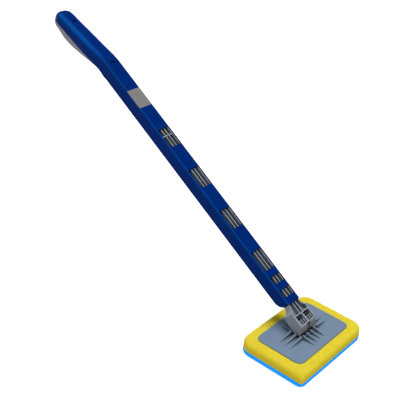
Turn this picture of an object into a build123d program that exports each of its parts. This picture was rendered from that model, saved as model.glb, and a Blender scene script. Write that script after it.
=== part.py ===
from build123d import *
import math
import os

# A window scrubber: a long hollow handle over a ribbed core, whose two knuckles tilt on a pin above a
# plate that holds a sponge and a scouring pad. Lengths are in millimetres and angles in degrees.
# The origin is the centre of the scrubbing face. +Z is up, +X runs along the head and the hinge pin,
# and +Y runs from the head towards the grip.

# Scouring pad, glue and sponge
head_length = 150.0
head_depth = 106.0
head_corner_radius = 19.0
head_near_corner_radius = 9.0
pad_thickness = 6.4
pad_edge_radius = 0.7
bond_thickness = 0.3
bond_edge_inset = 1.0
sponge_thickness = 12.5
sponge_edge_radius = 7.0
sponge_foot_radius = 1.2

# Plate with its ribs
plate_length = 115.4
plate_depth = 74.5
plate_corner_radius = 9.0
plate_thickness = 2.6
plate_proud = 0.8
plate_edge_radius = 0.7
plate_side_gap = 0.2
rib_height = 6.4
rib_pitch = 8.6
rib_root_width = 2.9
rib_tip_width = 0.8
rib_tip_height = 0.3
bridge_height = 2.0
long_rib_reach = 42.0
cross_rib_reach = 27.0
long_rib_count = 3
cross_rib_count = 4

# Hinge
knuckle_radius = 7.7
knuckle_plate_gap = 3.3
knuckle_end_gap = 0.6
knuckle_sweep_gap = 2.1
lug_radius = 5.8
lug_width = 5.6
slot_radial_gap = 0.7
washer_radius = 5.6
washer_thickness = 0.5
washer_gap = 0.05
spring_washer_height = 0.7
spring_washer_thickness = 0.3
pin_radius = 2.5
pin_running_gap = 0.05
pin_seat_gap = 0.01
pin_end_gap = 0.1
pin_end_chamfer = 0.4
near_cheek_wall = 2.6
cap_radius = 3.6
cap_thickness = 1.2
cap_gap = 0.05

# Handle section and its place on the hinge
tilt = 33.8
shell_start = 33.3
axis_to_top = 13.6
handle_width = 25.6
handle_height = 22.0
shell_wall = 1.9
shell_edge_radius = 2.5
heel_radius = 15.0
seam_depth = 10.5

# Grip, with sections given as shares of its length, width, depth and edge radius
bend_distance = 440.4
bend_angle = 9.5
bend_radius = 120.0
grip_lead_in = 24.0
grip_length = 112.9
grip_width = 27.0
grip_depth = 31.0
grip_edge_radius = 6.5
grip_least_radius = 0.5
grip_corner_share = 0.49
grip_section_shares = (
    (0.0, 0.96, 0.735, 0.65),
    (0.16, 0.99, 0.82, 0.95),
    (0.36, 1.0, 0.925, 1.0),
    (0.60, 0.97, 1.0, 1.0),
    (0.74, 0.96, 0.94, 1.0),
    (0.86, 0.95, 0.825, 1.0),
)
dome_centre_depth = 13.2
dome_section_count = 6
dome_last_angle = 84.0
grip_seam_depth = 9.0
grip_pad_thickness = 3.2
grip_pad_side_thickness = 1.2
pad_top_shares = (
    (-0.02, 0.90),
    (0.03, 0.74),
    (0.10, 0.67),
    (0.30, 0.63),
    (0.60, 0.57),
    (0.87, 0.51),
    (1.06, 0.455),
)
pad_below_shares = ((1.1, 1.3), (-0.08, 1.3))

# Openings in the handle's top face, counted from the shell's lower end
window_start = 10.2
short_window_length = 12.0
short_window_pitch = 22.0
short_window_count = 2
long_window_start = 54.5
long_window_length = 31.5
long_window_pitch = 72.5
long_window_count = 4
window_corner_radius = 0.6
inlay_depth = 0.9
inlay_corner_radius = 1.6
hook_slot_distance = 427.2
grip_slot_share = 0.702
slot_length = 7.8
slot_opening = 3.8
hook_thickness = 1.4
hook_gap = 0.2
hook_recess = 1.5

# Core
core_gap = 0.1
core_wall = 1.6
core_past_inlay = 9.0
web_depth = 8.0
web_thickness = 1.6
centre_rib_offset = 2.9
centre_rib_width = 1.6
cross_rib_share = 0.62
cross_rib_width = 1.4
neck_back_depth = 12.8
neck_step_distance = 18.0
neck_flare_start = 1.5
neck_flare_length = 9.5
block_width = 33.2
block_back_depth = 19.1
block_top_distance = 11.3

# Pockets in the block's front face
frame_bar_width = 1.8
frame_side_width = 2.5
frame_foot_width = 1.5
block_bar_distance = 17.5
middle_bar_width = 2.6
deep_pocket_length = 6.2
deep_pocket_depth = 14.5
shallow_pocket_depth = 4.3
grille_bar_count = 3
grille_bar_width = 1.5
grille_bar_drop = 1.0
tie_bar_width = 1.4
tie_bar_height = 2.4
tie_bar_depth = 7.0

# Screws that close the shells
screw_radius = 1.5
screw_head_radius = 2.8
screw_head_height = 1.8
screw_head_sink = 0.8
screw_socket_radius = 1.1
screw_socket_depth = 1.0
screw_bite = 9.0
screw_hole_gap = 0.2
screw_seat_gap = 0.02
boss_radius = 3.1
boss_joint_height = 3.0
boss_gap = 0.4
ring_wall = 1.5
screw_gap_share = 0.5

overrun = 3.0

# Heights in the head
sponge_foot = pad_thickness + bond_thickness
sponge_top = sponge_foot + sponge_thickness
plate_top = sponge_top + plate_proud
plate_foot = plate_top - plate_thickness
hinge_height = plate_top + knuckle_plate_gap + knuckle_radius

# Places on the hinge axis
spring_x = lug_width / 2 + washer_thickness + 2 * washer_gap
slot_width = 2 * (spring_x + spring_washer_height + washer_gap)
cheek_x = block_width / 2
sweep_radius = knuckle_radius + knuckle_sweep_gap

# The handle's pieces are modelled lying along +Y with the hinge axis through the origin, then tilted up.
top_z = axis_to_top
bottom_z = axis_to_top - handle_height
seam_z = top_z - seam_depth
inner_top_z = top_z - shell_wall
inner_half_width = handle_width / 2 - shell_wall
bend_y = shell_start + bend_distance
bend_tangent = bend_radius * math.tan(math.radians(bend_angle) / 2)
straight_end_y = bend_y - grip_lead_in
core_top_z = inner_top_z - core_gap
core_bottom_z = bottom_z + shell_wall + core_gap
core_half_width = inner_half_width - core_gap
neck_back_z = top_z - neck_back_depth
block_back_z = top_z - block_back_depth
block_top_y = shell_start - block_top_distance
bar_y = shell_start - block_bar_distance
deep_top_y = bar_y - frame_bar_width / 2
deep_foot_y = deep_top_y - deep_pocket_length
web_top_z = top_z - web_depth
window_spacer = long_window_pitch - long_window_length
first_screw = long_window_start + long_window_length + window_spacer * screw_gap_share
inlay_start = long_window_start + long_window_count * long_window_pitch
core_end = shell_start + inlay_start + long_window_length + core_past_inlay


def box(x, y, z):
    """Block between two x, two y and two z values."""
    size = Box(x[1] - x[0], y[1] - y[0], z[1] - z[0], align=(Align.MIN, Align.MIN, Align.MIN))
    return Pos(x[0], y[0], z[0]) * size


def side_solid(outline, half_width):
    """Solid of an outline drawn in the side view, with equal halves left and right."""
    return extrude(Plane.YZ * outline, half_width, both=True)


def rod(radius, x):
    """Cylinder along the hinge axis between two x values."""
    bar = Cylinder(radius, x[1] - x[0], align=(Align.CENTER, Align.CENTER, Align.MIN))
    return Pos(x[0], 0, 0) * Rot(0, 90, 0) * bar


def post(radius, y, z):
    """Cylinder square to the handle's top face at one station, between two z values."""
    bar = Cylinder(radius, z[1] - z[0], align=(Align.CENTER, Align.CENTER, Align.MIN))
    return Pos(0, y, z[0]) * bar


def on_grip(along, down):
    """Side-view point from lengths along the grip's dropped top line and square below it."""
    angle = math.radians(bend_angle)
    y = bend_y + along * math.cos(angle) - down * math.sin(angle)
    z = top_z - along * math.sin(angle) - down * math.cos(angle)
    return (y, z)


def on_grip_shares(pair):
    """Side-view point from shares of the grip's length and depth."""
    return on_grip(pair[0] * grip_length, pair[1] * grip_depth)


def grip_plane(along):
    """Plane square to the top line at a length counted from the bend, with its Y pointing down."""
    turned = min(max((along + bend_tangent) / (2 * bend_tangent), 0), 1)
    angle = math.radians(bend_angle) * turned
    if turned == 0:
        y, z = bend_y + along, top_z
    elif turned == 1:
        y, z = on_grip(along, 0)
    else:
        y = bend_y - bend_tangent + bend_radius * math.sin(angle)
        z = top_z - bend_radius * (1 - math.cos(angle))
    return Plane(origin=(0, y, z), x_dir=(1, 0, 0), z_dir=(0, math.cos(angle), -math.sin(angle)))


# Head: prisms with rounded corners, stacked face to face
def head_prism(length, depth, corner, foot, top):
    plan = RectangleRounded(length, depth, corner)
    return Pos(0, 0, foot) * extrude(plan, top - foot)


def soft_prism(inset, foot, top):
    """Prism of the pad and the sponge, with one tight corner towards -X and -Y, drawn in by an inset."""
    plan = Rectangle(head_length - 2 * inset, head_depth - 2 * inset)
    across = Axis((0, 0, 0), (1, 1, 0))
    plan = fillet(plan.vertices().sort_by(across)[0], head_near_corner_radius - inset)
    plan = fillet(plan.vertices().sort_by(across)[2:], head_corner_radius - inset)
    return Pos(0, 0, foot) * extrude(plan, top - foot)


def make_scouring_pad():
    pad = soft_prism(0, 0, pad_thickness)
    return fillet(pad.faces().sort_by(Axis.Z)[0].edges(), pad_edge_radius)


def make_pad_bond():
    return soft_prism(bond_edge_inset, pad_thickness, sponge_foot)


def make_sponge():
    sponge = soft_prism(0, sponge_foot, sponge_top)
    sponge = fillet(sponge.faces().sort_by(Axis.Z)[-1].edges(), sponge_edge_radius)
    sponge = fillet(sponge.faces().sort_by(Axis.Z)[0].edges(), sponge_foot_radius)
    gap = 2 * plate_side_gap
    corner = plate_corner_radius + plate_side_gap
    bed_z = plate_foot - bond_thickness
    bed = head_prism(plate_length + gap, plate_depth + gap, corner, bed_z, sponge_top + overrun)
    return sponge - bed


def make_sponge_bond():
    inset = 2 * bond_edge_inset
    corner = plate_corner_radius - bond_edge_inset
    foot = plate_foot - bond_thickness
    return head_prism(plate_length - inset, plate_depth - inset, corner, foot, plate_foot)


# Stiffening ribs: wedges that run down to spikes, low where they pass under the knuckles
def long_rib():
    inner = cheek_x + knuckle_end_gap
    outline = make_face(Polyline(
        (0, 0), (long_rib_reach, 0), (long_rib_reach, rib_tip_height), (inner, rib_height),
        (inner, bridge_height), (0, bridge_height), close=True))
    side = extrude(Plane.XZ * outline, rib_root_width, both=True)
    plan = make_face(Polyline(
        (0, rib_root_width / 2), (inner, rib_root_width / 2), (long_rib_reach, rib_tip_width / 2),
        (long_rib_reach, -rib_tip_width / 2), (inner, -rib_root_width / 2),
        (0, -rib_root_width / 2), close=True))
    half = side & extrude(plan, rib_height)
    return half + mirror(half, Plane.YZ)


def cross_rib():
    inner = lug_radius
    outline = make_face(Polyline(
        (0, 0), (cross_rib_reach, 0), (cross_rib_reach, rib_tip_height), (inner, rib_height),
        (0, rib_height), close=True))
    side = extrude(Plane.YZ * outline, rib_root_width, both=True)
    plan = make_face(Polyline(
        (rib_root_width / 2, 0), (rib_root_width / 2, inner), (rib_tip_width / 2, cross_rib_reach),
        (-rib_tip_width / 2, cross_rib_reach), (-rib_root_width / 2, inner),
        (-rib_root_width / 2, 0), close=True))
    half = side & extrude(plan, rib_height)
    return half + mirror(half, Plane.XZ)


def make_head_plate():
    plate = head_prism(plate_length, plate_depth, plate_corner_radius, plate_foot, plate_top)
    plate = fillet(plate.faces().sort_by(Axis.Z)[-1].edges(), plate_edge_radius)
    ribs = []
    for index in range(cross_rib_count):
        x = (index - (cross_rib_count - 1) / 2) * rib_pitch
        ribs.append(Pos(x, 0, plate_top) * cross_rib())
    for index in range(long_rib_count):
        y = (index - (long_rib_count - 1) / 2) * rib_pitch
        ribs.append(Pos(0, y, plate_top) * long_rib())
    sweep = Pos(0, 0, hinge_height) * rod(sweep_radius, (-cheek_x, cheek_x))
    web = box((-lug_width / 2, lug_width / 2), (-lug_radius, lug_radius), (plate_top, hinge_height))
    eye = Pos(0, 0, hinge_height) * rod(lug_radius, (-lug_width / 2, lug_width / 2))
    bore = Pos(0, 0, hinge_height) * rod(pin_radius + pin_running_gap, (-lug_width, lug_width))
    return plate + (Part() + ribs - sweep) + web + eye - bore


# Hinge hardware
def make_hinge_pin():
    x = (near_cheek_wall + pin_end_gap - cheek_x, cheek_x - cap_thickness - pin_end_gap)
    return chamfer(rod(pin_radius, x).edges(), pin_end_chamfer)


def make_pin_cap():
    x = (cheek_x - cap_thickness, cheek_x)
    return rod(cap_radius - cap_gap, x)


def make_washer(side):
    """Flat friction ring beside the lug, on the side given as -1 or 1."""
    inner = lug_width / 2 + washer_gap
    ring = rod(washer_radius, (inner, inner + washer_thickness))
    ring = ring - rod(pin_radius + pin_running_gap, (0, inner + overrun))
    return ring if side > 0 else mirror(ring, Plane.YZ)


def make_spring_washer(side):
    """Dished steel ring that keeps the friction ring pressed, on the side given as -1 or 1."""
    bore = pin_radius + pin_running_gap
    rise = spring_washer_height - spring_washer_thickness
    section = make_face(Polyline(
        (spring_x, washer_radius), (spring_x + spring_washer_thickness, washer_radius),
        (spring_x + spring_washer_height, bore), (spring_x + rise, bore), close=True))
    ring = revolve(section, Axis.X)
    return ring if side > 0 else mirror(ring, Plane.YZ)


# Handle body: a straight prism and a grip lofted through its sections, or their hollow when inset
def straight_body(inset, edge_radius):
    """The straight part from its lower end to the grip's first section."""
    far = handle_width + handle_height
    end_y = straight_end_y + far
    heel_out = (shell_start + heel_radius, bottom_z + inset)
    heel_in = (shell_start + inset, bottom_z + heel_radius)
    lines = [
        Line((shell_start + inset, top_z - inset), (end_y, top_z - inset)),
        Line((end_y, top_z - inset), (end_y, bottom_z + inset)),
        Line((end_y, bottom_z + inset), heel_out),
        TangentArc(heel_out, heel_in, tangent=(-1, 0)),
        Line(heel_in, (shell_start + inset, top_z - inset)),
    ]
    raw = side_solid(make_face(lines), handle_width / 2 - inset)
    if edge_radius:
        sides = raw.faces().sort_by(Axis.X)
        raw = fillet(sides[0].edges() + sides[-1].edges(), edge_radius)
    return raw & box((-far, far), (0, straight_end_y), (-far, far))


def grip_sections():
    """Place along the grip, width, top and foot depth and corner radius of each section."""
    straight = (handle_width, 0, handle_height, shell_edge_radius)
    sections = [(-grip_lead_in, *straight), (-grip_lead_in / 2, *straight)]
    for along, width, depth, radius in grip_section_shares:
        size = (width * grip_width, 0, depth * grip_depth, radius * grip_edge_radius)
        sections.append((along * grip_length, *size))
    start, width, top, foot, radius = sections[-1]
    for index in range(dome_section_count):
        angle = math.radians(dome_last_angle) * (index + 1) / dome_section_count
        closed = math.cos(angle)
        along = start + (grip_length - start) * math.sin(angle)
        upper = dome_centre_depth * (1 - closed)
        lower = dome_centre_depth + (foot - dome_centre_depth) * closed
        sections.append((along, width * closed, upper, lower, radius))
    return sections


def grip_body(side, top_wall, foot_wall):
    """The bend and the grip, lofted through rounded sections drawn in at sides, top and foot."""
    faces = []
    for along, width, top, foot, corner in grip_sections():
        wide = width - 2 * side
        high = top + top_wall
        low = foot - foot_wall
        if min(wide, low - high) > foot_wall:
            station = along * (1 - foot_wall / grip_length) if along > 0 else along
            radius = max(corner - side, grip_least_radius)
            radius = min(radius, grip_corner_share * min(wide, low - high))
            section = RectangleRounded(wide, low - high, radius)
            faces.append(grip_plane(station) * Pos(0, (low + high) / 2, 0) * section)
    return loft(faces)


def pad_zone():
    """Everything under the grip pad's upper boundary."""
    points = [on_grip_shares(pair) for pair in pad_top_shares]
    below = [on_grip_shares(pair) for pair in pad_below_shares]
    zone = make_face([Spline(*points), Polyline(points[-1], *below, points[0])])
    return side_solid(zone, handle_width)


def seam_zone():
    """Everything below the seam between the two shells."""
    far = grip_length + bend_distance
    bend_seam = on_grip(0, grip_seam_depth)
    end = on_grip(grip_length + overrun, grip_seam_depth)
    outline = make_face(Polyline(
        (0, seam_z), (bend_y - bend_tangent, seam_z), bend_seam, end, (end[0], -far), (0, -far), close=True))
    return side_solid(outline, handle_width)


def window_places():
    """Start and length of each window, from the shell's lower end."""
    places = [(window_start + i * short_window_pitch, short_window_length)
              for i in range(short_window_count)]
    places += [(long_window_start + i * long_window_pitch, long_window_length)
               for i in range(long_window_count)]
    return places


def screw_places():
    return [shell_start + first_screw + i * long_window_pitch for i in range(long_window_count)]


def top_cutter(start, length, half_width, depth, corner):
    """Block with rounded corners that is sunk into the top face from above."""
    plan = RectangleRounded(2 * half_width, length, corner)
    middle = Pos(0, shell_start + start + length / 2, top_z - depth)
    return middle * extrude(plan, depth + overrun)


def inlay_zone():
    half = handle_width / 2
    return top_cutter(inlay_start, long_window_length, half, inlay_depth, inlay_corner_radius)


def hook_places():
    """Where each hook and its slot stand: one square to the straight top face, one to the grip's."""
    straight = Pos(0, shell_start + hook_slot_distance, top_z)
    y, z = on_grip(grip_slot_share * grip_length, 0)
    dropped = Pos(0, y, z) * Rot(-bend_angle, 0, 0)
    return [straight, dropped]


def make_handle_pieces():
    body = straight_body(0, shell_edge_radius) + grip_body(0, 0, 0)
    side_wall = grip_pad_side_thickness + shell_wall
    hollow = straight_body(shell_wall, 0) + grip_body(side_wall, shell_wall, grip_pad_thickness + shell_wall)
    pad_room = pad_zone() - grip_body(grip_pad_side_thickness, shell_wall, grip_pad_thickness)
    mouth = box((-inner_half_width, inner_half_width), (shell_start - overrun, shell_start + heel_radius),
                (neck_back_z - core_gap, inner_top_z))
    inlay = body & inlay_zone()
    pad = body & pad_room
    walls = body - pad_room - inlay_zone() - hollow - mouth
    lower = seam_zone()
    front = walls - lower
    back = walls & lower
    for start, length in window_places():
        front = front - top_cutter(start, length, inner_half_width, 2 * shell_wall, window_corner_radius)
    floor_z = bottom_z + shell_wall
    joint_z = floor_z + boss_joint_height
    head_z = bottom_z + screw_head_sink + screw_head_height
    for y in screw_places():
        front = front + post(boss_radius, y, (joint_z, inner_top_z))
        pilot = post(screw_radius + screw_seat_gap, y, (joint_z, joint_z + screw_bite + screw_hole_gap))
        front = front - pilot
        back = back + post(boss_radius, y, (floor_z, joint_z))
        back = back - post(screw_radius + screw_hole_gap, y, (bottom_z, joint_z))
        back = back - post(screw_head_radius + screw_hole_gap, y, (bottom_z - overrun, head_z))
    for place in hook_places():
        front = front - place * Box(slot_length, slot_opening, 4 * shell_wall)
        hook = Box(slot_length - 2 * hook_gap, hook_thickness, grip_depth,
                   align=(Align.CENTER, Align.CENTER, Align.MAX))
        hook = place * Pos(0, 0, -hook_recess) * hook
        back = back + ((hook & body) - pad_room)
    return front, back, inlay, pad


def make_screw(y):
    head_top = bottom_z + screw_head_sink
    shank_end = bottom_z + shell_wall + boss_joint_height + screw_bite
    head = post(screw_head_radius, y, (head_top, head_top + screw_head_height))
    socket = post(screw_socket_radius, y, (head_top - overrun, head_top + screw_socket_depth))
    return head + post(screw_radius, y, (head_top, shank_end)) - socket


def make_shell_screws():
    return Compound(children=[make_screw(y) for y in screw_places()])


# Core: plan and side view give the envelope, and pockets from both faces leave its walls and ribs
def core_plan():
    flare_start = (core_half_width, shell_start - neck_flare_start)
    flare_end = (cheek_x, shell_start - neck_flare_start - neck_flare_length)
    foot_y = -knuckle_radius - overrun
    right = [
        Line((0, core_end), (core_half_width, core_end)),
        Line((core_half_width, core_end), flare_start),
        TangentArc(flare_start, flare_end, tangent=(0, -1)),
        Line(flare_end, (cheek_x, foot_y)),
        Line((cheek_x, foot_y), (0, foot_y)),
        Line((0, foot_y), (0, core_end)),
    ]
    half = make_face(right)
    return half + mirror(half, Plane.YZ)


def core_side():
    """Side view of the spine, the neck and the block with its knuckles."""
    step_y = shell_start + neck_step_distance
    spine = make_face(Polyline(
        (0, core_top_z), (core_end, core_top_z), (core_end, core_bottom_z), (step_y + overrun, core_bottom_z),
        (step_y, neck_back_z), (shell_start - neck_flare_start, neck_back_z),
        (block_top_y, block_back_z), (0, block_back_z), close=True))
    back_reach = math.hypot(block_top_y, block_back_z)
    lean = math.atan2(-block_back_z, block_top_y)
    back_angle = -lean - math.acos(knuckle_radius / back_reach)
    front_angle = math.pi / 2 + math.acos(knuckle_radius / core_top_z)
    front_point = (knuckle_radius * math.cos(front_angle), knuckle_radius * math.sin(front_angle))
    back_point = (knuckle_radius * math.cos(back_angle), knuckle_radius * math.sin(back_angle))
    cheek = make_face(Polyline(
        (0, core_top_z), front_point, back_point, (block_top_y, block_back_z),
        (block_top_y, core_top_z), close=True))
    return spine + cheek + Circle(knuckle_radius)


def core_ribs(z):
    """Centre ribs, cross rib and screw rings, left standing between two z values."""
    ribs = []
    for side in (-1, 1):
        x = side * centre_rib_offset
        ribs.append(box((x - centre_rib_width / 2, x + centre_rib_width / 2), (0, core_end), z))
    last_window = shell_start + long_window_start + (long_window_count - 1) * long_window_pitch
    y = last_window + cross_rib_share * long_window_length
    ribs.append(box((-cheek_x, cheek_x), (y - cross_rib_width / 2, y + cross_rib_width / 2), z))
    for y in screw_places():
        ribs.append(post(boss_radius + boss_gap + ring_wall, y, z))
    return Part() + ribs


def block_pockets(side):
    """One pocket of the block: a deep upper part with a tie bar, and a shallow lower part with a grille."""
    inner = middle_bar_width / 2
    outer = cheek_x - frame_side_width
    x = (inner, outer) if side > 0 else (-outer, -inner)
    face = core_top_z + overrun
    deep = box(x, (deep_foot_y, deep_top_y), (core_top_z - deep_pocket_depth, face))
    shallow_floor = core_top_z - shallow_pocket_depth
    shallow = box(x, (frame_foot_width, deep_foot_y), (shallow_floor, face))
    tie_y = (deep_foot_y + deep_top_y) / 2
    tie_top = core_top_z - tie_bar_depth
    tie = box(x, (tie_y - tie_bar_width / 2, tie_y + tie_bar_width / 2), (tie_top - tie_bar_height, tie_top))
    pitch = (outer - inner) / grille_bar_count
    bars = []
    for index in range(grille_bar_count):
        centre = x[0] + (index + 1 / 2) * pitch
        bars.append(box((centre - grille_bar_width / 2, centre + grille_bar_width / 2),
                        (frame_foot_width, deep_foot_y), (shallow_floor, core_top_z - grille_bar_drop)))
    return (deep - tie) + (shallow - (Part() + bars))


def make_core_spine():
    plan = core_plan()
    far = handle_width + handle_height
    slab = Pos(0, 0, -far) * extrude(plan, 2 * far)
    envelope = side_solid(core_side(), cheek_x) & slab
    inside = offset(plan, -core_wall)
    channel_foot = bar_y + frame_bar_width / 2
    upper = Pos(0, 0, web_top_z) * extrude(inside, far)
    upper = upper - box((-far, far), (-far, channel_foot), (web_top_z, web_top_z + far))
    upper = upper - core_ribs((web_top_z, core_top_z))
    under_z = (core_bottom_z - overrun, web_top_z - web_thickness)
    under = Pos(0, 0, under_z[0]) * extrude(inside, under_z[1] - under_z[0])
    under_foot = shell_start + neck_step_distance + overrun + core_wall
    under = under - box((-far, far), (-far, under_foot), under_z)
    under = under - core_ribs(under_z)
    core = envelope - upper - under
    for side in (-1, 1):
        core = core - block_pockets(side)
    for y in screw_places():
        core = core - post(boss_radius + boss_gap, y, (core_bottom_z - overrun, core_top_z + overrun))
    slot = (-slot_width / 2, slot_width / 2)
    slot_radius = lug_radius + slot_radial_gap
    core = core - rod(slot_radius, slot)
    core = core - box(slot, (-far, 0), (-far, far))
    core = core - box(slot, (-far, slot_radius), (-far, 0))
    bore = rod(pin_radius + pin_seat_gap, (near_cheek_wall - cheek_x, cheek_x + overrun))
    cap_seat = rod(cap_radius, (cheek_x - cap_thickness, cheek_x + overrun))
    return core - bore - cap_seat


def on_handle(shape):
    """Takes a piece from the lying handle to its place on the tilted one."""
    return Pos(0, 0, hinge_height) * Rot(tilt, 0, 0) * shape


front_shell, back_shell, thumb_inlay, grip_pad = make_handle_pieces()

head_pieces = {
    "scouring_pad": make_scouring_pad(),
    "pad_bond": make_pad_bond(),
    "sponge": make_sponge(),
    "sponge_bond": make_sponge_bond(),
    "head_plate": make_head_plate(),
}
handle_pieces = {
    "core_spine": make_core_spine(),
    "handle_front_shell": front_shell,
    "handle_back_shell": back_shell,
    "thumb_inlay": thumb_inlay,
    "grip_pad": grip_pad,
    "shell_screws": make_shell_screws(),
    "hinge_pin": make_hinge_pin(),
    "pin_cap": make_pin_cap(),
    "friction_washer_left": make_washer(-1),
    "friction_washer_right": make_washer(1),
    "spring_washer_left": make_spring_washer(-1),
    "spring_washer_right": make_spring_washer(1),
}

os.makedirs("parts", exist_ok=True)
for name, piece in head_pieces.items():
    export_step(piece, "parts/" + name + ".step")
for name, piece in handle_pieces.items():
    export_step(on_handle(piece), "parts/" + name + ".step")
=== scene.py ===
import bpy
import math
from mathutils import Matrix, Vector


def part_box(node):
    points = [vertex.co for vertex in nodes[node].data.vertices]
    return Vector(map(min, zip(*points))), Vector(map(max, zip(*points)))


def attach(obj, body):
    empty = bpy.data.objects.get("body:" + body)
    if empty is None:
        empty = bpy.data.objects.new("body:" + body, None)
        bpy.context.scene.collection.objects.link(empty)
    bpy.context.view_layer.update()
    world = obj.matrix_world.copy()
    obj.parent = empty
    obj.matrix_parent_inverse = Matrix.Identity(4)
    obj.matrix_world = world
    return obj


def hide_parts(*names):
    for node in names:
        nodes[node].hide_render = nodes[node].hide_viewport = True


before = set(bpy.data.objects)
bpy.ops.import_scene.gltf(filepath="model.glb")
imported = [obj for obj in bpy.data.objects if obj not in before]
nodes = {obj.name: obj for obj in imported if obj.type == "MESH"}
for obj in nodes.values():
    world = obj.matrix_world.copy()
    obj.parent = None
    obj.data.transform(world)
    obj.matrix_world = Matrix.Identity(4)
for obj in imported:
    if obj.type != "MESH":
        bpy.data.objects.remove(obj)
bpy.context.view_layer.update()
bpy.ops.object.select_all(action="DESELECT")

# Camera
# A long lens stands low over the scrubber's left front corner, and is rolled a little.
# Its place and turn were found by fitting the head's outline and the handle's edges.
camera_azimuth = math.radians(-49.889)
camera_elevation = math.radians(30.501)
camera_roll = math.radians(3.216)
camera_place = Vector((-0.7595, -0.4434, 0.7287))
camera_turn = (
    Matrix.Rotation(camera_azimuth, 4, "Z")
    @ Matrix.Rotation(math.radians(90) - camera_elevation, 4, "X")
    @ Matrix.Rotation(camera_roll, 4, "Z")
)
bpy.ops.object.camera_add()
camera = bpy.context.object
camera.name = "photo_camera"
camera.matrix_world = Matrix.Translation(camera_place) @ camera_turn
camera.data.sensor_width = 36.0
camera.data.lens = 73.086
camera.data.clip_start = 0.05
camera.data.clip_end = 40.0
bpy.context.scene.camera = camera

# Floor and light
# A white studio floor under a broad soft light from almost straight overhead. A weak one on
# the left draws the handle's edge. The floor glows to the camera, so it looks white and hides
# the scrubber's shadow.
bpy.context.scene.view_settings.view_transform = "Standard"


def node_material(name):
    """A new material with its node tree and its Principled shader."""
    material = bpy.data.materials.new(name)
    material.use_nodes = True
    tree = material.node_tree
    return material, tree, tree.nodes["Principled BSDF"]


floor_size = 8.0
floor_glow = 0.6
sky_light_strength = 0.25
sky_seen_strength = 1.0
bpy.ops.mesh.primitive_plane_add(size=floor_size, location=(0, 0, 0))
floor = bpy.context.object
floor.name = "studio_floor"
floor_paint, tree, shader = node_material("white_floor")
shader.inputs["Base Color"].default_value = (0.8, 0.8, 0.8, 1)
shader.inputs["Roughness"].default_value = 0.9
shader.inputs["Specular IOR Level"].default_value = 0.1
shader.inputs["Emission Color"].default_value = (1, 1, 1, 1)
rays = tree.nodes.new("ShaderNodeLightPath")
seen = tree.nodes.new("ShaderNodeMath")
seen.operation = "MAXIMUM"
tree.links.new(rays.outputs["Is Camera Ray"], seen.inputs[0])
tree.links.new(rays.outputs["Is Glossy Ray"], seen.inputs[1])
glow = tree.nodes.new("ShaderNodeMath")
glow.operation = "MULTIPLY"
glow.inputs[1].default_value = floor_glow
tree.links.new(seen.outputs[0], glow.inputs[0])
tree.links.new(glow.outputs[0], shader.inputs["Emission Strength"])
floor.data.materials.append(floor_paint)

sky = bpy.data.worlds.new("white_studio")
sky.use_nodes = True
bpy.context.scene.world = sky
sky_tree = sky.node_tree
backdrop = sky_tree.nodes["Background"]
backdrop.inputs["Color"].default_value = (1, 1, 1, 1)
sky_rays = sky_tree.nodes.new("ShaderNodeLightPath")
sky_seen = sky_tree.nodes.new("ShaderNodeMath")
sky_seen.operation = "MAXIMUM"
sky_tree.links.new(sky_rays.outputs["Is Camera Ray"], sky_seen.inputs[0])
sky_tree.links.new(sky_rays.outputs["Is Transmission Ray"], sky_seen.inputs[1])
sky_light = sky_tree.nodes.new("ShaderNodeMix")
sky_light.data_type = "FLOAT"
sky_light.inputs[2].default_value = sky_light_strength
sky_light.inputs[3].default_value = sky_seen_strength
sky_tree.links.new(sky_seen.outputs[0], sky_light.inputs[0])
sky_tree.links.new(sky_light.outputs[0], backdrop.inputs["Strength"])


def soft_lamp(name, place, spread_angle, power):
    """A far, broad lamp that shines on the whole floor evenly, from one direction."""
    bpy.ops.object.light_add(type="SUN", location=place)
    lamp = bpy.context.object
    lamp.name = name
    lamp.data.angle = math.radians(spread_angle)
    lamp.data.energy = power
    lamp.rotation_mode = "QUATERNION"
    lamp.rotation_quaternion = Vector(place).to_track_quat("Z", "Y")


soft_lamp("key_lamp", place=(0.2, -0.05, 2.0), spread_angle=40, power=2.25)
soft_lamp("edge_lamp", place=(-1.48, -0.4, 1.3), spread_angle=12, power=0.2)

# Scouring pad
# A bright blue slab of non-woven fibre, die-cut with rounded corners and glued under the
# sponge. Its faces are flat and its cut edge is a little fuzzy.
pad_low, pad_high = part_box("scouring_pad")
soft_corner = 0.019
pad_near_corner = 0.009
pad_edge = 0.0009
pad_mesh_step = 0.0011
pad_fuzz = 0.00035
fuzz_size = 0.0022
fibre_scale = 900.0
fibre_relief = 0.0005
corner_steps = 14


def seen_colour(red, green, blue):
    """Turns a colour as seen on a screen, from 0 to 255, into the shader's linear colour."""
    linear = [
        ((v / 255 + 0.055) / 1.055) ** 2.4 if v > 10 else v / 255 / 12.92
        for v in (red, green, blue)
    ]
    return (*linear, 1.0)


def object_noise(tree, scale, detail=2.0, roughness=0.5):
    """A noise texture that reads the piece's own coordinates."""
    place = tree.nodes.new("ShaderNodeTexCoord")
    noise = tree.nodes.new("ShaderNodeTexNoise")
    noise.inputs["Scale"].default_value = scale
    noise.inputs["Detail"].default_value = detail
    noise.inputs["Roughness"].default_value = roughness
    tree.links.new(place.outputs["Object"], noise.inputs["Vector"])
    return noise


def two_tones(tree, factor, dark, light, low=0.3, high=0.7):
    """A colour ramp that turns a pattern into two close tones."""
    ramp = tree.nodes.new("ShaderNodeValToRGB")
    ramp.color_ramp.elements[0].position = low
    ramp.color_ramp.elements[0].color = dark
    ramp.color_ramp.elements[1].position = high
    ramp.color_ramp.elements[1].color = light
    tree.links.new(factor, ramp.inputs["Fac"])
    return ramp.outputs["Color"]


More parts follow.
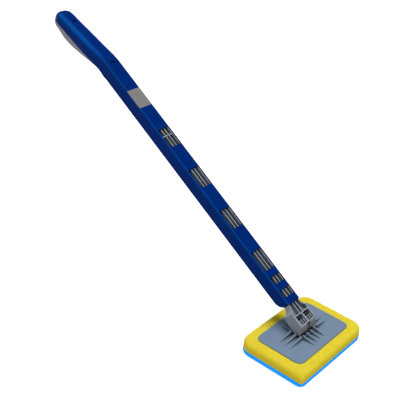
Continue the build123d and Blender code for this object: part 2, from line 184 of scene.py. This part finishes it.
def surface_bump(tree, height, distance, strength=1.0):
    """Tilts the shading by a pattern, as fine relief would."""
    bump = tree.nodes.new("ShaderNodeBump")
    bump.inputs["Distance"].default_value = distance
    bump.inputs["Strength"].default_value = strength
    tree.links.new(height, bump.inputs["Height"])
    return bump


def pick_edges(slab, wanted):
    """Enters edit mode with the edges selected whose two ends satisfy a test."""
    bpy.ops.object.mode_set(mode="EDIT")
    bpy.ops.mesh.select_mode(type="EDGE")
    bpy.ops.mesh.select_all(action="DESELECT")
    bpy.ops.object.mode_set(mode="OBJECT")
    for edge in slab.data.edges:
        edge.select = wanted(*(slab.data.vertices[v].co for v in edge.vertices))
    bpy.ops.object.mode_set(mode="EDIT")


def bevel_picked(offset, segments):
    """Rounds the edges that are selected, and leaves edit mode."""
    bpy.ops.mesh.bevel(offset=offset, segments=segments, affect="EDGES")
    bpy.ops.object.mode_set(mode="OBJECT")


def slab_block(name, low, high):
    """A plain block that fills a box."""
    bpy.ops.object.select_all(action="DESELECT")
    bpy.ops.mesh.primitive_cube_add(size=1, location=(low + high) / 2)
    slab = bpy.context.object
    slab.name = name
    slab.scale = high - low
    bpy.ops.object.transform_apply(location=True, rotation=True, scale=True)
    return slab


def round_corners(slab, low, corner, near_corner):
    """Rounds a block's upright edges, the one towards -X and -Y by its own radius."""
    def upright(a, b):
        return abs(a.z - b.z) > abs(a.x - b.x) + abs(a.y - b.y)

    def at_near(a):
        return abs(a.x - low.x) + abs(a.y - low.y) < corner

    if near_corner:
        pick_edges(slab, lambda a, b: upright(a, b) and at_near(a))
        bevel_picked(near_corner, corner_steps)
    pick_edges(slab, lambda a, b: upright(a, b) and not at_near(a))
    bevel_picked(corner, corner_steps)


def pick_rim(slab, height, reach=0.0001):
    """Selects the edges that lie all round a slab at one height."""
    pick_edges(slab, lambda a, b: abs(a.z - height) < reach and abs(b.z - height) < reach)


def apply_all(piece):
    """Makes all of a piece's modifiers part of its mesh."""
    bpy.context.view_layer.objects.active = piece
    for modifier in list(piece.modifiers):
        bpy.ops.object.modifier_apply(modifier=modifier.name)


def remesh(piece, step):
    """Rebuilds a piece as an even grid of small faces, so that its surface can be worked."""
    grid = piece.modifiers.new("even_grid", "REMESH")
    grid.mode = "VOXEL"
    grid.voxel_size = step
    apply_all(piece)


def roughen(piece, size, depth):
    """Pushes the surface in and out by a cloudy pattern of one size."""
    clouds = bpy.data.textures.new(piece.name + "_clouds", "CLOUDS")
    clouds.noise_scale = size
    clouds.noise_depth = 2
    push = piece.modifiers.new("uneven_surface", "DISPLACE")
    push.texture = clouds
    push.texture_coords = "LOCAL"
    push.mid_level = 0.5
    push.strength = depth
    apply_all(piece)


def flatten_foot(piece, height):
    """Presses all that lies below a height up to it, so that the piece stands flat."""
    for vertex in piece.data.vertices:
        vertex.co.z = max(vertex.co.z, height)


scouring_fleece = slab_block("scouring_fleece", pad_low, pad_high)
round_corners(scouring_fleece, pad_low, soft_corner, pad_near_corner)
for height in (pad_low.z, pad_high.z):
    pick_rim(scouring_fleece, height)
    bevel_picked(pad_edge, 3)
remesh(scouring_fleece, pad_mesh_step)
roughen(scouring_fleece, fuzz_size, pad_fuzz)
flatten_foot(scouring_fleece, pad_low.z)
bpy.ops.object.shade_smooth()

fleece_blue, tree, shader = node_material("blue_fleece")
fibres = object_noise(tree, fibre_scale, 6.0, 0.65)
fibres.inputs["Distortion"].default_value = 1.2
tree.links.new(
    two_tones(tree, fibres.outputs["Fac"], seen_colour(8, 150, 255), seen_colour(40, 190, 255)),
    shader.inputs["Base Color"],
)
shader.inputs["Roughness"].default_value = 0.85
shader.inputs["Specular IOR Level"].default_value = 0.1
shader.inputs["Sheen Weight"].default_value = 1.0
shader.inputs["Sheen Tint"].default_value = (0.0, 0.5, 1.0, 1)
shader.inputs["Sheen Roughness"].default_value = 0.5
# Painted light: the fleece is given a faint blue glow of its own, which keeps its shaded sides bright.
shader.inputs["Emission Color"].default_value = (0.0, 0.22, 1.0, 1)
shader.inputs["Emission Strength"].default_value = 0.5
bump = surface_bump(tree, fibres.outputs["Fac"], fibre_relief)
tree.links.new(bump.outputs["Normal"], shader.inputs["Normal"])
scouring_fleece.data.materials.append(fleece_blue)
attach(scouring_fleece, "head")
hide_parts("scouring_pad")

# Sponge
# A block of yellow foam with its upper edges ground round, which meet in a ridge at the near
# corner. The plate lies in a shallow bed in its top, and the foam's cells show as fine pores.
foam_low, foam_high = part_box("sponge")
plate_low, plate_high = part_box("head_plate")
foam_edge = 0.0072
foam_foot = 0.0008
foam_ridge = 0.0034
foam_step = 0.0012
bed_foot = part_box("sponge_bond")[0].z
bed_gap = 0.0001
bed_corner = 0.0092
swell_size = 0.012
swell_depth = 0.0003
pore_size = 0.0024
pore_depth = 0.00012
cell_scale = 900.0
cell_relief = 0.0004
foam_drift_scale = 90.0

foam_block = slab_block("foam_block", foam_low, foam_high)
round_corners(foam_block, foam_low, soft_corner, 0)
pick_rim(foam_block, foam_high.z)
bevel_picked(foam_edge, 10)


def on_ridge(a):
    along_x, along_y = a.x - foam_low.x, a.y - foam_low.y
    return abs(along_x - along_y) < foam_ridge / 10 and along_x < foam_edge * 1.01


pick_edges(foam_block, lambda a, b: on_ridge(a) and on_ridge(b) and a.z + b.z > 2 * foam_low.z)
bevel_picked(foam_ridge, 6)
pick_rim(foam_block, foam_low.z)
bevel_picked(foam_foot, 2)
bed_low = Vector((plate_low.x - bed_gap, plate_low.y - bed_gap, bed_foot))
bed_high = Vector((plate_high.x + bed_gap, plate_high.y + bed_gap, foam_high.z + foam_foot))
bed = slab_block("plate_bed", bed_low, bed_high)
round_corners(bed, bed_low, bed_corner, bed_corner)
bpy.ops.object.select_all(action="DESELECT")
cut = foam_block.modifiers.new("plate_bed", "BOOLEAN")
cut.operation = "DIFFERENCE"
cut.object = bed
apply_all(foam_block)
bpy.data.objects.remove(bed)
foam_block.select_set(True)
remesh(foam_block, foam_step)
roughen(foam_block, swell_size, swell_depth)
roughen(foam_block, pore_size, pore_depth)
bpy.ops.object.shade_smooth()


def graded(tree, value, low, high):
    """Runs from nothing at one value of a pattern to full at another."""
    grade = tree.nodes.new("ShaderNodeMapRange")
    grade.inputs["From Min"].default_value = low
    grade.inputs["From Max"].default_value = high
    tree.links.new(value, grade.inputs["Value"])
    return grade.outputs["Result"]


def product(tree, first, second):
    """Multiplies a pattern by another one or by a number, and keeps it within 0 and 1."""
    times = tree.nodes.new("ShaderNodeMath")
    times.operation = "MULTIPLY"
    times.use_clamp = True
    tree.links.new(first, times.inputs[0])
    if isinstance(second, float):
        times.inputs[1].default_value = second
    else:
        tree.links.new(second, times.inputs[1])
    return times.outputs[0]


def axes_of(tree, output):
    """The X, Y and Z of one output of the texture coordinates."""
    place = tree.nodes.new("ShaderNodeTexCoord")
    axes = tree.nodes.new("ShaderNodeSeparateXYZ")
    tree.links.new(place.outputs[output], axes.inputs["Vector"])
    return axes.outputs


def lay_over(material, tone, factor):
    """Mixes a tone over what a finish has as its base colour."""
    tree = material.node_tree
    shader = tree.nodes["Principled BSDF"]
    blend = tree.nodes.new("ShaderNodeMix")
    blend.data_type = "RGBA"
    tree.links.new(factor, blend.inputs["Factor"])
    tree.links.new(shader.inputs["Base Color"].links[0].from_socket, blend.inputs["A"])
    blend.inputs["B"].default_value = tone
    tree.links.new(blend.outputs["Result"], shader.inputs["Base Color"])


foam_yellow, tree, shader = node_material("yellow_foam")
place = tree.nodes.new("ShaderNodeTexCoord")
cells = tree.nodes.new("ShaderNodeTexVoronoi")
cells.inputs["Scale"].default_value = cell_scale
tree.links.new(place.outputs["Object"], cells.inputs["Vector"])
drift = object_noise(tree, foam_drift_scale, 3.0)
foam_tone = two_tones(tree, drift.outputs["Fac"], seen_colour(228, 208, 52), seen_colour(233, 214, 60))
pores = two_tones(
    tree, cells.outputs["Distance"], seen_colour(205, 178, 40), seen_colour(255, 255, 255), low=0.0, high=0.35
)
tint = tree.nodes.new("ShaderNodeMix")
tint.data_type = "RGBA"
tint.blend_type = "MULTIPLY"
tint.inputs["Factor"].default_value = 0.2
tree.links.new(foam_tone, tint.inputs["A"])
tree.links.new(pores, tint.inputs["B"])
tree.links.new(tint.outputs["Result"], shader.inputs["Base Color"])
# Painted shade: the side faces turn a deeper yellow than the top, by how far they turn from upright.
side_shade_mask = graded(tree, axes_of(tree, "Normal")["Z"], low=0.95, high=0.3)
lay_over(foam_yellow, seen_colour(230, 206, 52), side_shade_mask)
shader.inputs["Roughness"].default_value = 0.9
shader.inputs["Specular IOR Level"].default_value = 0.1
shader.inputs["Subsurface Weight"].default_value = 0.5
shader.inputs["Subsurface Radius"].default_value = (1.0, 0.8, 0.2)
shader.inputs["Subsurface Scale"].default_value = 0.004
bump = surface_bump(tree, cells.outputs["Distance"], cell_relief, 0.4)
tree.links.new(bump.outputs["Normal"], shader.inputs["Normal"])
foam_block.data.materials.append(foam_yellow)
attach(foam_block, "head")
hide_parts("sponge")

# Glue films
# Thin pale films of hot-melt glue between scouring pad, sponge and plate, drawn in a little
# from the edges, so that only a hairline of each shows.


def spread(tree, value, low, high):
    """Moves a pattern's 0.3 to 0.7 to a range from low to high."""
    span = tree.nodes.new("ShaderNodeMapRange")
    span.inputs["From Min"].default_value = 0.3
    span.inputs["From Max"].default_value = 0.7
    span.inputs["To Min"].default_value = low
    span.inputs["To Max"].default_value = high
    tree.links.new(value, span.inputs["Value"])
    return span.outputs["Result"]


plastic_drift_scale = 45.0
gloss_spread = 0.04


def moulded_plastic(name, dark, light, gloss, shine=0.3, grain=0.0006, grain_depth=0.00002):
    """Moulded plastic: close tones in broad drifts, an uneven sheen and a fine moulded grain."""
    material, tree, shader = node_material(name)
    shader.inputs["Specular IOR Level"].default_value = shine
    drift = object_noise(tree, plastic_drift_scale)
    tree.links.new(two_tones(tree, drift.outputs["Fac"], dark, light), shader.inputs["Base Color"])
    sheen = spread(tree, drift.outputs["Fac"], gloss - gloss_spread, gloss + gloss_spread)
    tree.links.new(sheen, shader.inputs["Roughness"])
    fine = object_noise(tree, 1 / grain, 3.0)
    bump = surface_bump(tree, fine.outputs["Fac"], grain_depth)
    tree.links.new(bump.outputs["Normal"], shader.inputs["Normal"])
    return material


def dress(node, material):
    """Gives a CAD node its finish."""
    mesh = nodes[node].data
    mesh.materials.clear()
    mesh.materials.append(material)


glue = moulded_plastic("hot_melt_glue", seen_colour(222, 218, 205), seen_colour(232, 228, 216), 0.45)
dress("pad_bond", glue)
dress("sponge_bond", glue)

# Head plate
# Grey-blue moulded plastic with a hinge lug and thin spiky ribs, let into the sponge. The
# ribs' front flanks have a warmer grey, a painted reflection of the yellow sponge, and painted shade darkens
# the corners at their feet.
pin_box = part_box("hinge_pin")
pin_height = (pin_box[0].z + pin_box[1].z) / 2
pin_above_plate = 0.011
plate_top = pin_height - pin_above_plate
rib_bounce_start = plate_top + 0.0003
rib_bounce_full = plate_top + 0.0012
plate_shade_reach = 0.006


def paint_warm_bounce(material, tone, low, high):
    """Paints a warm reflection of the yellow sponge on the faces that look to the front, from none at one
    height to full at another.
    """
    tree = material.node_tree
    front = graded(tree, axes_of(tree, "Normal")["Y"], low=-0.1, high=-0.5)
    height = graded(tree, axes_of(tree, "Object")["Z"], low, high)
    lay_over(material, tone, product(tree, front, height))


def shade_in_corners(material, tone, reach):
    """Darkens hollows and inner corners by how closed in they are: painted shade."""
    tree = material.node_tree
    hollow = tree.nodes.new("ShaderNodeAmbientOcclusion")
    hollow.inputs["Distance"].default_value = reach
    lay_over(material, tone, graded(tree, hollow.outputs["AO"], low=0.75, high=0.15))


plate_grey = moulded_plastic("plate_grey", seen_colour(113, 134, 158), seen_colour(119, 140, 164), 0.5)
# Painted reflection: a warm grey on the ribs' front flanks, near their feet.
paint_warm_bounce(plate_grey, seen_colour(130, 120, 108), rib_bounce_start, rib_bounce_full)
# Painted shade in the plate's hollows and at the ribs' feet.
shade_in_corners(plate_grey, seen_colour(45, 55, 68), plate_shade_reach)
dress("head_plate", plate_grey)

# Core
# One grey moulding: the ribbed spine in the handle, the neck, the block and its knuckles.
# The knuckles' fronts have a warmer grey, a painted reflection of the yellow sponge, and painted shade
# darkens pockets and rib valleys a little.
knuckle_bounce_start = pin_height + 0.010
knuckle_bounce_full = pin_height + 0.003
core_shade_reach = 0.008
core_grey = moulded_plastic("core_grey", seen_colour(143, 152, 166), seen_colour(152, 161, 175), 0.45)
# Painted reflection: a warm grey on the knuckles' fronts.
paint_warm_bounce(core_grey, seen_colour(126, 128, 122), knuckle_bounce_start, knuckle_bounce_full)
# Painted shade in the core's pockets and rib valleys.
shade_in_corners(core_grey, seen_colour(92, 98, 104), core_shade_reach)
dress("core_spine", core_grey)
dress("pin_cap", core_grey)

# Handle shells
# Deep blue moulded plastic with a satin sheen. A paler blue painted along the upper edges
# is a painted highlight, strongest along the grip.
shell_blue = moulded_plastic("shell_blue", seen_colour(0, 40, 116), seen_colour(1, 44, 122), 0.32, 0.03)
handle_lean = math.radians(33.8)
straight_end = 0.385
grip_start = 0.425
highlight_on_straight = 0.55
highlight_on_grip = 1.0
tree = shell_blue.node_tree
tree.nodes["Principled BSDF"].inputs["Specular Tint"].default_value = (0.0, 0.35, 1.0, 1)
facing = tree.nodes.new("ShaderNodeTexCoord")
level = tree.nodes.new("ShaderNodeMapping")
level.vector_type = "VECTOR"
level.inputs["Rotation"].default_value = (-handle_lean, 0, 0)
tree.links.new(facing.outputs["Normal"], level.inputs["Vector"])
axes = tree.nodes.new("ShaderNodeSeparateXYZ")
tree.links.new(level.outputs["Vector"], axes.inputs["Vector"])
sideways = tree.nodes.new("ShaderNodeMath")
sideways.operation = "ABSOLUTE"
tree.links.new(axes.outputs["X"], sideways.inputs[0])
edge_highlight_mask = graded(tree, product(tree, sideways.outputs[0], axes.outputs["Z"]), 0.0, 0.5)
highlight_strength = tree.nodes.new("ShaderNodeMapRange")
highlight_strength.inputs["From Min"].default_value = straight_end
highlight_strength.inputs["From Max"].default_value = grip_start
highlight_strength.inputs["To Min"].default_value = highlight_on_straight
highlight_strength.inputs["To Max"].default_value = highlight_on_grip
along = tree.nodes.new("ShaderNodeSeparateXYZ")
tree.links.new(facing.outputs["Object"], along.inputs["Vector"])
tree.links.new(along.outputs["Y"], highlight_strength.inputs["Value"])
# Painted highlight: a paler blue along the upper edges, weaker on the straight part than on the grip.
lay_over(shell_blue, seen_colour(4, 86, 176), product(tree, edge_highlight_mask, highlight_strength.outputs["Result"]))
dress("handle_front_shell", shell_blue)
dress("handle_back_shell", shell_blue)

# Soft inlay and grip pad
# Warm grey soft-touch plastic, moulded into its beds: a small flat field in the top face for
# the thumb, and a thick pad under the grip, which is paler.
inlay_grey = moulded_plastic("inlay_grey", seen_colour(129, 128, 128), seen_colour(136, 135, 134), 0.7)
dress("thumb_inlay", inlay_grey)
grip_grey = moulded_plastic("grip_grey", seen_colour(150, 147, 157), seen_colour(158, 155, 164), 0.7)
dress("grip_pad", grip_grey)

# Screws, pin and washers
# Bright steel for the four screws, the hinge pin and the dished washers that press the two
# friction rings of pale slippery plastic against the lug.
steel = moulded_plastic("bright_steel", seen_colour(178, 180, 182), seen_colour(196, 198, 200), 0.3)
steel.node_tree.nodes["Principled BSDF"].inputs["Metallic"].default_value = 1.0
for node in ("shell_screws", "hinge_pin", "spring_washer_left", "spring_washer_right"):
    dress(node, steel)
acetal = moulded_plastic("white_acetal", seen_colour(220, 219, 212), seen_colour(229, 228, 222), 0.4)
for node in ("friction_washer_left", "friction_washer_right"):
    dress(node, acetal)
